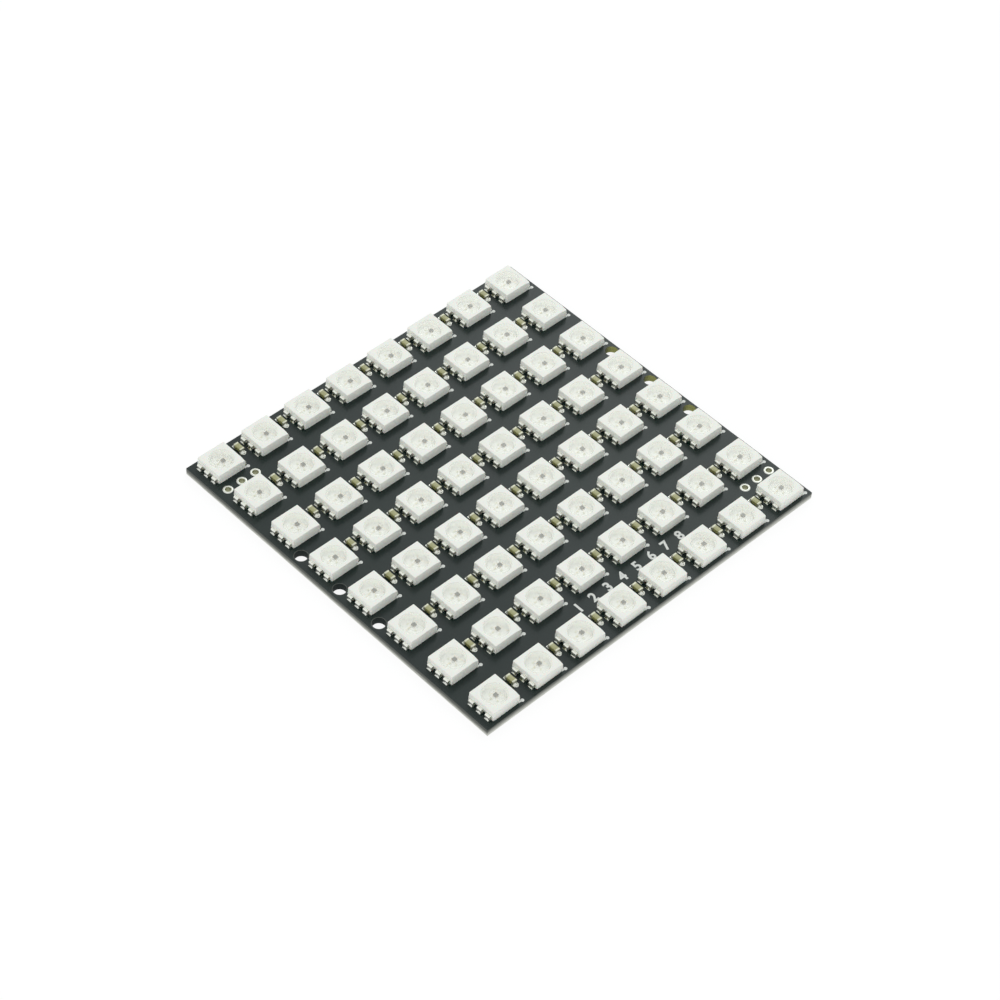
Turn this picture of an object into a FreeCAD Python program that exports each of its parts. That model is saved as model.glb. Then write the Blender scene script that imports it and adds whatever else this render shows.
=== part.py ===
import FreeCAD, Part
import math
import os

# Square panel of full-colour lights: a thin black circuit board that carries a grid of
# surface-mounted light packages, with a small ceramic capacitor between neighbours.
# Millimetres. The origin is the middle of the board's underside. +Z points out of the side
# with the lights, and +X runs along the rows. Row 1 is the one at +Y.

V = FreeCAD.Vector

# Grid of lights
rows = 8
columns = 8

# Light package: a moulded housing in two tiers, with a round reflector cup in its top
housing_size = 4.9              # across the foot of the housing, both ways
draft_angle = 1.5               # degrees that each outer wall leans in, to leave its mould
leadframe_height = 0.75         # from the board to the metal frame moulded into the housing
cup_depth = 0.85                # from the metal frame, which is the cup's floor, to the rim
rim_width = 0.51                # narrowest part of the rim round the cup
cup_wall_run = 0.3              # how far the sloping wall of the cup comes in at its floor
cup_facets = 14
corner_mark_length = 0.95       # of the slanted facet that marks one corner, along each edge
corner_mark_depth = 0.22        # how far the facet comes down the corner

# Leads of the light package, which turn down to the board beside the narrower lower tier.
# Each has the solder that joins it to the board.
leads_per_side = 3
lead_width = 0.85
lead_end_margin = 0.425         # from the housing's corner to the nearest lead
lead_recess = 0.25              # how far the lower tier is set back to make room for the leads
lead_stand_off = 0.45           # from the upper tier to the outer face of a lead
lead_reach = 0.58               # how far the soldered foot stands out of the housing

# Driver chip on the floor of the cup
chip_size = 0.55
chip_thickness = 0.2
chip_offset_x = 0.43            # from the middle of the cup
chip_offset_y = 0.15

# Ceramic capacitor between two lights of a row
capacitor_length = 1.6
capacitor_width = 0.8
capacitor_height = 0.7
capacitor_offset_y = 0.95       # from the line through the middles of the row's lights
capacitor_clearance = 0.634     # from the capacitor's side to the feet of the leads beside it

# Circuit board: from the middle of an outer light to the board's edge on each side
board_thickness = 1.2
edge_margin_minus_x = 4.05
edge_margin_plus_x = 3.7
edge_margin_y = 3.05

# Screw holes in the gaps between rows, near both ends of the board
screw_hole_diameter = 2.0
screw_hole_web_minus_x = 0.5    # board left between a hole and the board's edge
screw_hole_web_plus_x = 0.35
screw_hole_offset_y = -0.1      # from the middle of the gap between rows
screw_holes_per_end = 3

# Holes for a row of header pins at each end, in two opposite corners of the board
pin_hole_diameter = 0.95
pin_spacing = 2.54
pins_per_row = 3
pin_hole_web_minus_x = 1.4      # board left between the outer hole and the board's edge
pin_hole_web_plus_x = 1.05

# Sizes that follow from those above
housing_height = leadframe_height + cup_depth
wall_lean = math.tan(math.radians(draft_angle))
housing_top_size = housing_size - 2 * housing_height * wall_lean
cup_rim_diameter = housing_top_size - 2 * rim_width
cup_floor_diameter = cup_rim_diameter - 2 * cup_wall_run
tier_size = housing_size - 2 * leadframe_height * wall_lean
lower_tier_run = lead_recess * 2
lead_spacing = (housing_size - 2 * lead_end_margin - lead_width) / (leads_per_side - 1)
light_gap = 2 * lead_reach + capacitor_width + 2 * capacitor_clearance
pitch = housing_size + light_gap
board_length = edge_margin_minus_x + (columns - 1) * pitch + edge_margin_plus_x
board_width = (rows - 1) * pitch + 2 * edge_margin_y


def column_x(column):
    """Middle of a column of lights, counted from 1 at -X."""
    return edge_margin_minus_x - board_length / 2 + (column - 1) * pitch


def row_y(row):
    """Middle of a row of lights, counted from 1 at +Y."""
    return ((rows + 1) / 2 - row) * pitch


def gap_y(row):
    """Middle of the gap between a row and the next."""
    return row_y(row + 0.5)


def outline(points):
    return Part.makePolygon(points + points[:1])


def frustum(lower, upper):
    """Closed solid with flat sides between two outlines that have as many corners."""
    faces = [Part.Face(outline(lower)), Part.Face(outline(upper))]
    for here in range(len(lower)):
        after = (here + 1) % len(lower)
        side = [lower[here], lower[after], upper[after], upper[here]]
        faces.append(Part.Face(outline(side)))
    return Part.Solid(Part.Shell(faces))


def tier_outline(size_x, size_y, z):
    """Outline of one tier of the housing."""
    return [V(x * size_x / 2, y * size_y / 2, z) for x, y in ((-1, -1), (1, -1), (1, 1), (-1, 1))]


def cup_outline(diameter, z):
    """Regular outline of the cup, with a flat facing each side of the housing."""
    radius = diameter / 2 / math.cos(math.pi / cup_facets)
    turns = [2 * math.pi * (facet + 0.5) / cup_facets for facet in range(cup_facets)]
    return [V(radius * math.cos(turn), radius * math.sin(turn), z) for turn in turns]


def make_corner_mark():
    """What the slanted facet takes off the top of the housing, at the corner at +X, -Y."""
    middle = (housing_top_size - corner_mark_length) / 2
    slope = corner_mark_length / corner_mark_depth
    place = V(middle, -middle, housing_height)
    return Part.makeCylinder(corner_mark_length, corner_mark_depth, place, V(1, -1, slope))


def make_housing():
    """Two drafted tiers that meet at the metal frame, with the reflector cup sunk down to it."""
    foot = tier_outline(housing_size - lower_tier_run, housing_size, 0)
    step = tier_outline(tier_size - lower_tier_run, tier_size, leadframe_height)
    frame = tier_outline(tier_size, tier_size, leadframe_height)
    top = tier_outline(housing_top_size, housing_top_size, housing_height)
    floor = cup_outline(cup_floor_diameter, leadframe_height)
    rim = cup_outline(cup_rim_diameter, housing_height)
    tiers = frustum(foot, step).fuse(frustum(frame, top)).removeSplitter()
    return tiers.cut(frustum(floor, rim)).cut(make_corner_mark())


def make_lead(side, offset):
    """Lead that leaves the upper tier at the metal frame and turns down, with its solder to the board."""
    near_y = offset - lead_width / 2
    profile = outline([
        V(side * (housing_size / 2 - lead_recess), near_y, 0),
        V(side * (housing_size / 2 + lead_reach), near_y, 0),
        V(side * (tier_size / 2 + lead_stand_off), near_y, leadframe_height),
        V(side * (tier_size / 2 - lead_recess), near_y, leadframe_height),
    ])
    return Part.Face(profile).extrude(V(0, lead_width, 0))


def make_leads():
    """All leads of one light package, on its -X and +X sides."""
    leads = []
    for side in (-1, 1):
        for lead in range(leads_per_side):
            offset = (lead - (leads_per_side - 1) / 2) * lead_spacing
            leads.append(make_lead(side, offset))
    return leads


def make_driver_chip():
    """Silicon chip that drives the light, seated on the floor of the cup."""
    corner = V(chip_offset_x - chip_size / 2, chip_offset_y - chip_size / 2, leadframe_height)
    return Part.makeBox(chip_size, chip_size, chip_thickness, corner)


def make_capacitor():
    """Capacitor that stands halfway to the light at -X, with its length across the row."""
    corner = V(-(pitch + capacitor_width) / 2, capacitor_offset_y - capacitor_length / 2, 0)
    return Part.makeBox(capacitor_width, capacitor_length, capacitor_height, corner)


def screw_hole_places():
    first_gap = rows // 2 - (screw_holes_per_end - 1) // 2
    gaps = range(first_gap, first_gap + screw_holes_per_end)
    to_middle = (board_length - screw_hole_diameter) / 2
    first_x = screw_hole_web_minus_x - to_middle
    last_x = to_middle - screw_hole_web_plus_x
    return [(x, gap_y(gap) + screw_hole_offset_y) for x in (first_x, last_x) for gap in gaps]


def pin_hole_places():
    """The row at -X lies in the first gap, and the one at +X in the last."""
    to_middle = (board_length - pin_hole_diameter) / 2
    first_x = pin_hole_web_minus_x - to_middle
    last_x = to_middle - pin_hole_web_plus_x
    places = []
    for x, step, gap in ((first_x, pin_spacing, 1), (last_x, -pin_spacing, rows - 1)):
        for pin in range(pins_per_row):
            places.append((x + pin * step, gap_y(gap)))
    return places


def drill(plate, places, diameter):
    for x, y in places:
        plate = plate.cut(Part.makeCylinder(diameter / 2, board_thickness, V(x, y, 0)))
    return plate


def make_board():
    corner = V(-board_length / 2, -board_width / 2, 0)
    plate = Part.makeBox(board_length, board_width, board_thickness, corner)
    plate = drill(plate, screw_hole_places(), screw_hole_diameter)
    return drill(plate, pin_hole_places(), pin_hole_diameter)


def along_row(row, first_column, pieces):
    """Copies of the pieces at each light of a row, from one column on."""
    copies = []
    for column in range(first_column, columns + 1):
        place = V(column_x(column), row_y(row), board_thickness)
        copies.extend(piece.translated(place) for piece in pieces)
    return Part.makeCompound(copies)


os.makedirs("parts", exist_ok=True)

housing = make_housing()
leads = make_leads()
driver_chip = make_driver_chip()
capacitor = make_capacitor()

nodes = {"circuit_board": make_board()}
for row in range(1, rows + 1):
    nodes[f"led_housings_row_{row}"] = along_row(row, 1, [housing])
    nodes[f"led_leads_row_{row}"] = along_row(row, 1, leads)
    nodes[f"driver_chips_row_{row}"] = along_row(row, 1, [driver_chip])
    nodes[f"capacitors_row_{row}"] = along_row(row, 2, [capacitor])

for name, shape in nodes.items():
    shape.exportStep(f"parts/{name}.step")
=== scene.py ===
"""Looks of a square black circuit board that carries a grid of full-colour light packages."""

import math
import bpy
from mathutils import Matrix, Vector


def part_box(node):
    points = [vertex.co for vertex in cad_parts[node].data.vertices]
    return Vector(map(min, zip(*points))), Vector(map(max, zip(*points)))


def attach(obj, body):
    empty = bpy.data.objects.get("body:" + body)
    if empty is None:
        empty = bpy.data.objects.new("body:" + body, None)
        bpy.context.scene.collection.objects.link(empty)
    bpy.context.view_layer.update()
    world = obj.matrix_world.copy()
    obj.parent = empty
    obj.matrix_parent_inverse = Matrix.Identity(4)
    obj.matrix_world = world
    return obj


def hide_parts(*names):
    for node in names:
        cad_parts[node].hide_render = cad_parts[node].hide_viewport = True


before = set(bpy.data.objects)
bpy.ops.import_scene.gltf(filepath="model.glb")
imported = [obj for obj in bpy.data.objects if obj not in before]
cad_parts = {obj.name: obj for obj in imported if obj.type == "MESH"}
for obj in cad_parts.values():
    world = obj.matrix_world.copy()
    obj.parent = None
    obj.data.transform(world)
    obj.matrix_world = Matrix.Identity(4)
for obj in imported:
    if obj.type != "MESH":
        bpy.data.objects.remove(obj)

from types import SimpleNamespace

import bmesh
import bpy
from bpy.props import FloatProperty, FloatVectorProperty, PointerProperty, StringProperty
from mathutils import Matrix, Vector

bl_info = {
    "name": "Light Panel",
    "version": (1, 0, 0),
    "blender": (4, 5, 0),
    "location": "3D View > Sidebar > Light Panel",
    "description": "Models the pieces and finishes of a panel of full-colour lights round its packed solids",
    "category": "Object",
}

# Shapes are modelled in millimetres, and add_piece scales them to the frame's metres
MM = 0.001
MERGE_DISTANCE = 1e-4
LET_IN = 0.01
SMOOTH_ANGLE = math.radians(40)
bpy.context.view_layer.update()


def node_box(name):
    """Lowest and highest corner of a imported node, in millimetres."""
    low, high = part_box(name)
    return low / MM, high / MM


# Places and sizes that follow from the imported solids, in millimetres
ROWS = sum(name.startswith("led_housings_row_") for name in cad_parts)
BOARD_LOW, BOARD_HIGH = node_box("circuit_board")
BOARD_TOP = BOARD_HIGH.z
HOUSING_LOW, HOUSING_HIGH = node_box("led_housings_row_1")
HOUSING_SIZE = HOUSING_HIGH.y - HOUSING_LOW.y
HOUSING_HEIGHT = HOUSING_HIGH.z - BOARD_TOP
ROW_Y = [sum(node_box(f"led_housings_row_{row + 1}"), Vector()).y / 2 for row in range(ROWS)]
PITCH = ROW_Y[0] - ROW_Y[1]
COLUMNS = round((HOUSING_HIGH.x - HOUSING_LOW.x - HOUSING_SIZE) / PITCH) + 1
GRID_MIDDLE = (HOUSING_LOW.x + HOUSING_HIGH.x) / 2
COLUMN_X = [GRID_MIDDLE + (column - (COLUMNS - 1) / 2) * PITCH for column in range(COLUMNS)]
LEADS_LOW, LEADS_HIGH = node_box("led_leads_row_1")
LEAD_ROW_LENGTH = LEADS_HIGH.y - LEADS_LOW.y
FRAME_HEIGHT = LEADS_HIGH.z - BOARD_TOP
FOOT_TIP = COLUMN_X[0] - LEADS_LOW.x
CHIP_LOW, CHIP_HIGH = node_box("driver_chips_row_1")
CHIP_SIZE = CHIP_HIGH.y - CHIP_LOW.y
CHIP_X = CHIP_LOW.x + CHIP_SIZE / 2 - COLUMN_X[0]
CHIP_Y = CHIP_LOW.y + CHIP_SIZE / 2 - ROW_Y[0]
CHIP_TOP = CHIP_HIGH.z - BOARD_TOP
CAPACITOR_LOW, CAPACITOR_HIGH = node_box("capacitors_row_1")
CAPACITOR_LENGTH = CAPACITOR_HIGH.y - CAPACITOR_LOW.y
CAPACITOR_HEIGHT = CAPACITOR_HIGH.z - BOARD_TOP
CAPACITOR_WIDTH = CAPACITOR_HIGH.x - CAPACITOR_LOW.x - (COLUMNS - 2) * PITCH
CAPACITOR_X = CAPACITOR_LOW.x + CAPACITOR_WIDTH / 2 - COLUMN_X[1]
CAPACITOR_Y = CAPACITOR_LOW.y + CAPACITOR_LENGTH / 2 - ROW_Y[0]


def linear(colour):
    """Scene-linear red, green, blue and alpha of an sRGB hex colour."""
    channels = [int(colour[start:start + 2], 16) / 255 for start in (1, 3, 5)]
    return [c / 12.92 if c <= 0.04045 else ((c + 0.055) / 1.055) ** 2.4 for c in channels] + [1.0]


class PackageSizes(bpy.types.PropertyGroup):
    """Sizes of one light package that its plain solids don't give."""

    draft: FloatProperty(
        name="Draft", description="How much narrower the housing is at its top than at its foot",
        default=0.084 * MM, unit="LENGTH", precision=6)
    corner_mark_length: FloatProperty(
        name="Corner mark length", description="Reach of the slanted facet that marks one corner",
        default=0.95 * MM, unit="LENGTH", precision=6)
    corner_mark_depth: FloatProperty(
        name="Corner mark depth", description="How far the facet comes down the corner",
        default=0.22 * MM, unit="LENGTH", precision=6)
    corner_radius: FloatProperty(
        name="Corner radius", description="Rounding of the housing's upright edges",
        default=0.1 * MM, unit="LENGTH", precision=6)
    edge_radius: FloatProperty(
        name="Edge radius", description="Rounding of the housing's top edge",
        default=0.035 * MM, unit="LENGTH", precision=6)
    flash: FloatProperty(
        name="Flash", description="Height and reach of the line where the mould's halves met",
        default=0.02 * MM, unit="LENGTH", precision=6)
    cup_radius: FloatProperty(
        name="Cup radius", description="Radius of the reflector cup at its rim",
        default=1.898 * MM, unit="LENGTH", precision=6)
    cup_wall_run: FloatProperty(
        name="Cup wall run", description="How far the cup's wall comes in at its floor",
        default=0.3 * MM, unit="LENGTH", precision=6)
    lip: FloatProperty(
        name="Lip", description="Rounding of the cup's rim",
        default=0.06 * MM, unit="LENGTH", precision=6)
    plate_gap: FloatProperty(
        name="Plate gap", description="White moulding between the plates on the cup's floor",
        default=0.16 * MM, unit="LENGTH", precision=6)
    plate_half_width: FloatProperty(
        name="Plate half width", description="Half the width of the plate that carries the chips",
        default=0.92 * MM, unit="LENGTH", precision=6)
    plate_depth: FloatProperty(
        name="Plate depth", description="How deep the plates are let into the moulding",
        default=0.06 * MM, unit="LENGTH", precision=6)
    floor_drop: FloatProperty(
        name="Floor drop", description="How far the moulding between the plates lies below them",
        default=0.02 * MM, unit="LENGTH", precision=6)
    die_size: FloatProperty(
        name="Die size", description="Side of a light-giving chip",
        default=0.24 * MM, unit="LENGTH", precision=6)
    die_height: FloatProperty(
        name="Die height", description="Thickness of a light-giving chip",
        default=0.1 * MM, unit="LENGTH", precision=6)
    wire_radius: FloatProperty(
        name="Wire radius", description="Radius of a bond wire",
        default=0.0125 * MM, unit="LENGTH", precision=6)
    wire_rise: FloatProperty(
        name="Wire rise", description="How high a bond wire arches",
        default=0.16 * MM, unit="LENGTH", precision=6)
    meniscus: FloatProperty(
        name="Meniscus", description="How far the filling sinks in its middle",
        default=0.05 * MM, unit="LENGTH", precision=6)
    lead_width: FloatProperty(
        name="Lead width", description="Width of a lead",
        default=0.85 * MM, unit="LENGTH", precision=6)
    lead_thickness: FloatProperty(
        name="Lead thickness", description="Thickness of the metal strip",
        default=0.15 * MM, unit="LENGTH", precision=6)
    lead_recess: FloatProperty(
        name="Lead recess", description="How far the lower tier is set back behind the leads",
        default=0.25 * MM, unit="LENGTH", precision=6)
    lead_stand_off: FloatProperty(
        name="Lead stand-off", description="From the housing's foot to the outer face of a lead",
        default=0.43 * MM, unit="LENGTH", precision=6)
    bend_radius: FloatProperty(
        name="Bend radius", description="Inner radius of a lead's bends",
        default=0.04 * MM, unit="LENGTH", precision=6)


class BoardSizes(bpy.types.PropertyGroup):
    """Sizes of what is plated, soldered or printed on the board."""

    copper: FloatProperty(
        name="Copper", description="Height of a tinned pad over the board",
        default=0.035 * MM, unit="LENGTH", precision=6)
    pad_margin: FloatProperty(
        name="Pad margin", description="Pad that shows beside a capacitor's end",
        default=0.04 * MM, unit="LENGTH", precision=6)
    solder_width: FloatProperty(
        name="Solder width", description="Width of the solder at a lead's foot",
        default=0.8 * MM, unit="LENGTH", precision=6)
    solder_height: FloatProperty(
        name="Solder height", description="How far solder climbs a lead or a capacitor's end",
        default=0.42 * MM, unit="LENGTH", precision=6)
    capacitor_foot: FloatProperty(
        name="Capacitor foot", description="Solder beyond a capacitor's end",
        default=0.28 * MM, unit="LENGTH", precision=6)
    capacitor_cap: FloatProperty(
        name="Capacitor cap", description="Length of the metal end of a capacitor",
        default=0.32 * MM, unit="LENGTH", precision=6)
    pin_hole_radius: FloatProperty(
        name="Pin hole radius", description="Radius of a pin hole",
        default=0.475 * MM, unit="LENGTH", precision=6)
    pin_ring_radius: FloatProperty(
        name="Pin ring radius", description="Outer radius of the tinned ring round a pin hole",
        default=0.79 * MM, unit="LENGTH", precision=6)
    pin_spacing: FloatProperty(
        name="Pin spacing", description="Between the pin holes of a row",
        default=2.54 * MM, unit="LENGTH", precision=6)
    pin_hole_web_minus_x: FloatProperty(
        name="Pin hole web at -X", description="Board left between the outer pin hole and the edge at -X",
        default=1.4 * MM, unit="LENGTH", precision=6)
    pin_hole_web_plus_x: FloatProperty(
        name="Pin hole web at +X", description="Board left between the outer pin hole and the edge at +X",
        default=1.05 * MM, unit="LENGTH", precision=6)
    barrel: FloatProperty(
        name="Barrel", description="Thickness of the metal that lines a pin hole",
        default=0.025 * MM, unit="LENGTH", precision=6)
    screw_hole_radius: FloatProperty(
        name="Screw hole radius", description="Radius of a screw hole",
        default=1.0 * MM, unit="LENGTH", precision=6)
    screw_hole_web_minus_x: FloatProperty(
        name="Screw hole web at -X", description="Board left between a screw hole and the edge at -X",
        default=0.5 * MM, unit="LENGTH", precision=6)
    screw_hole_web_plus_x: FloatProperty(
        name="Screw hole web at +X", description="Board left between a screw hole and the edge at +X",
        default=0.35 * MM, unit="LENGTH", precision=6)
    screw_hole_offset_y: FloatProperty(
        name="Screw hole offset Y", description="From the middle of a gap between rows to a screw hole",
        default=-0.1 * MM, unit="LENGTH", precision=6)
    mask_gap: FloatProperty(
        name="Mask gap", description="Bare laminate round a screw hole",
        default=0.1 * MM, unit="LENGTH", precision=6)
    via_radius: FloatProperty(
        name="Via radius", description="Outer radius of a via's ring",
        default=0.38 * MM, unit="LENGTH", precision=6)
    via_hole: FloatProperty(
        name="Via hole", description="Radius of a via's hole",
        default=0.2 * MM, unit="LENGTH", precision=6)
    via_x: FloatProperty(
        name="Via X", description="From the middle of a light to the via at its -X side",
        default=-4.04 * MM, unit="LENGTH", precision=6)
    via_y: FloatProperty(
        name="Via Y", description="From the middle of a light to the via, along Y",
        default=-0.04 * MM, unit="LENGTH", precision=6)
    ink: FloatProperty(
        name="Ink", description="Thickness of the printed ink",
        default=0.015 * MM, unit="LENGTH", precision=6)
    mark_x: FloatProperty(
        name="Mark X", description="From the middle of a light to the dot at its marked corner",
        default=2.93 * MM, unit="LENGTH", precision=6)
    mark_y: FloatProperty(
        name="Mark Y", description="From the middle of a light to the dot, along Y",
        default=-2.43 * MM, unit="LENGTH", precision=6)
    mark_radius: FloatProperty(
        name="Mark radius", description="Radius of the dot at a light's marked corner",
        default=0.28 * MM, unit="LENGTH", precision=6)
    numeral_height: FloatProperty(
        name="Numeral height", description="Height of the printed numerals",
        default=1.65 * MM, unit="LENGTH", precision=6)
    numeral_swell: FloatProperty(
        name="Numeral swell", description="How far the ink spreads beyond the lines of a numeral",
        default=0.07 * MM, unit="LENGTH", precision=6)


class Finishes(bpy.types.PropertyGroup):
    """Colours of the panel's materials."""

    moulding: FloatVectorProperty(
        name="Moulding", description="White nylon of the housings",
        default=linear("#E9EAE4"), size=4, min=0, max=1, subtype="COLOR")
    mask: FloatVectorProperty(
        name="Solder mask", description="Black lacquer on both faces of the board",
        default=linear("#071A18"), size=4, min=0, max=1, subtype="COLOR")
    laminate: FloatVectorProperty(
        name="Laminate", description="Glass and epoxy at the board's edges, just under the mask",
        default=linear("#4C4F4A"), size=4, min=0, max=1, subtype="COLOR")
    # Painted light: the pale colour that the board's edges are painted towards the underside
    painted_glow_laminate: FloatVectorProperty(
        name="Lit laminate", description="Glass and epoxy at the board's edges, near its underside",
        default=linear("#DADBD2"), size=4, min=0, max=1, subtype="COLOR")
    # Painted light: the olive glow painted on the screw holes' walls towards +X
    painted_hole_glow: FloatVectorProperty(
        name="Hole laminate", description="Glass and epoxy inside the drilled screw holes",
        default=linear("#9A9C5C"), size=4, min=0, max=1, subtype="COLOR")
    tin: FloatVectorProperty(
        name="Tin", description="Tin on the leads",
        default=linear("#F4F5EC"), size=4, min=0, max=1, subtype="COLOR")
    solder: FloatVectorProperty(
        name="Solder", description="Solder on the joints, pads and rings",
        default=linear("#DFE0D8"), size=4, min=0, max=1, subtype="COLOR")
    lining: FloatVectorProperty(
        name="Lining", description="Dull metal that lines the pin holes",
        default=linear("#B4B69A"), size=4, min=0, max=1, subtype="COLOR")
    capacitor_end: FloatVectorProperty(
        name="Capacitor end", description="Tin over fired paste at the capacitors' ends",
        default=linear("#CFCFBC"), size=4, min=0, max=1, subtype="COLOR")
    powder: FloatVectorProperty(
        name="Powder", description="White powder in the filling of the cups",
        default=linear("#F8F9F2"), size=4, min=0, max=1, subtype="COLOR")
    silver: FloatVectorProperty(
        name="Silver", description="Silver on the plates at the floor of a cup",
        default=linear("#EEEFEC"), size=4, min=0, max=1, subtype="COLOR")
    gold: FloatVectorProperty(
        name="Gold", description="Bond wires",
        default=linear("#E0B35A"), size=4, min=0, max=1, subtype="COLOR")
    silicon: FloatVectorProperty(
        name="Silicon", description="Driver chips",
        default=linear("#1A1D0C"), size=4, min=0, max=1, subtype="COLOR")
    die: FloatVectorProperty(
        name="Die", description="Light-giving chips",
        default=linear("#D6D9C0"), size=4, min=0, max=1, subtype="COLOR")
    ceramic: FloatVectorProperty(
        name="Ceramic", description="Bodies of the capacitors",
        default=linear("#9C9A63"), size=4, min=0, max=1, subtype="COLOR")
    filling: FloatVectorProperty(
        name="Filling", description="Tint of the filling of the cups",
        default=linear("#FEFEFA"), size=4, min=0, max=1, subtype="COLOR")
    ink: FloatVectorProperty(
        name="Ink", description="White print on the board",
        default=linear("#DADCD8"), size=4, min=0, max=1, subtype="COLOR")
    numerals: StringProperty(
        name="Numerals", description="Plain numbers printed between the last two rows",
        default="12345678")


def millimetres(group):
    """The lengths of a property group, in millimetres."""
    return SimpleNamespace(**{name: getattr(group, name) / MM for name in group.__annotations__})


def add(tree, kind, inputs=None, **settings):
    """Adds a node. An input is a value, or the output of another node that is linked to it."""
    node = tree.nodes.new("ShaderNode" + kind)
    for name, value in settings.items():
        setattr(node, name, value)
    for name, value in (inputs or {}).items():
        if isinstance(value, bpy.types.NodeSocket):
            tree.links.new(value, node.inputs[name])
        else:
            node.inputs[name].default_value = value
    return node


def tinted(colour, red, green, blue):
    """A colour with its channels scaled."""
    return (colour[0] * red, colour[1] * green, colour[2] * blue, 1.0)


def per_metre(millimetres_apart):
    """Texture scale at which a pattern repeats about every so many millimetres."""
    return 1 / (millimetres_apart * MM)


# A colour mix shares its socket names with the other kinds of mix, so its sockets go by number
FACTOR, FIRST, SECOND, MIXED = 0, 6, 7, 2


def new_finish(name):
    """Empty node material."""
    material = bpy.data.materials.new(name)
    material.use_nodes = True
    material.node_tree.nodes.clear()
    return material, material.node_tree


def surface(tree, inputs):
    """Main shader of a material, joined to its output."""
    shader = add(tree, "BsdfPrincipled", inputs)
    add(tree, "OutputMaterial", {"Surface": shader.outputs["BSDF"]})
    return shader


def moulded_white_nylon(finish):
    """Glass-filled nylon, injection moulded: matt white with the faint grain of the mould's spark finish."""
    material, tree = new_finish("moulded_white_nylon")
    place = add(tree, "TexCoord").outputs["Object"]
    batch = add(tree, "TexNoise", {"Vector": place, "Scale": per_metre(9), "Detail": 1.0})
    shade = add(tree, "MapRange", {"Value": batch.outputs["Fac"], "To Min": 0.0, "To Max": 0.35})
    yellowed = tinted(finish.moulding, 0.985, 0.98, 0.93)
    colour = add(tree, "Mix", {FACTOR: shade.outputs[0], FIRST: tuple(finish.moulding), SECOND: yellowed},
                 data_type="RGBA")
    grain = add(tree, "TexNoise", {"Vector": place, "Scale": per_metre(0.12), "Detail": 3.0})
    bump = add(tree, "Bump", {"Height": grain.outputs["Fac"], "Strength": 0.35, "Distance": 0.012 * MM})
    rough = add(tree, "MapRange", {"Value": grain.outputs["Fac"], "To Min": 0.42, "To Max": 0.6})
    surface(tree, {
        "Base Color": colour.outputs[MIXED],
        "Roughness": rough.outputs[0],
        "Normal": bump.outputs["Normal"],
        "IOR": 1.52,
        "Subsurface Weight": 0.08,
        "Subsurface Scale": 0.15 * MM,
    })
    return material


# Walls nearer to the board's outline than this are its edges, and the others are drilled holes
EDGE_ZONE = 0.05
# From the edge at +X, where the painted glow on the screw holes' walls starts, and where it is brightest
PAINTED_GLOW_START = 1.9
PAINTED_GLOW_BRIGHTEST = 0.6


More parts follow.
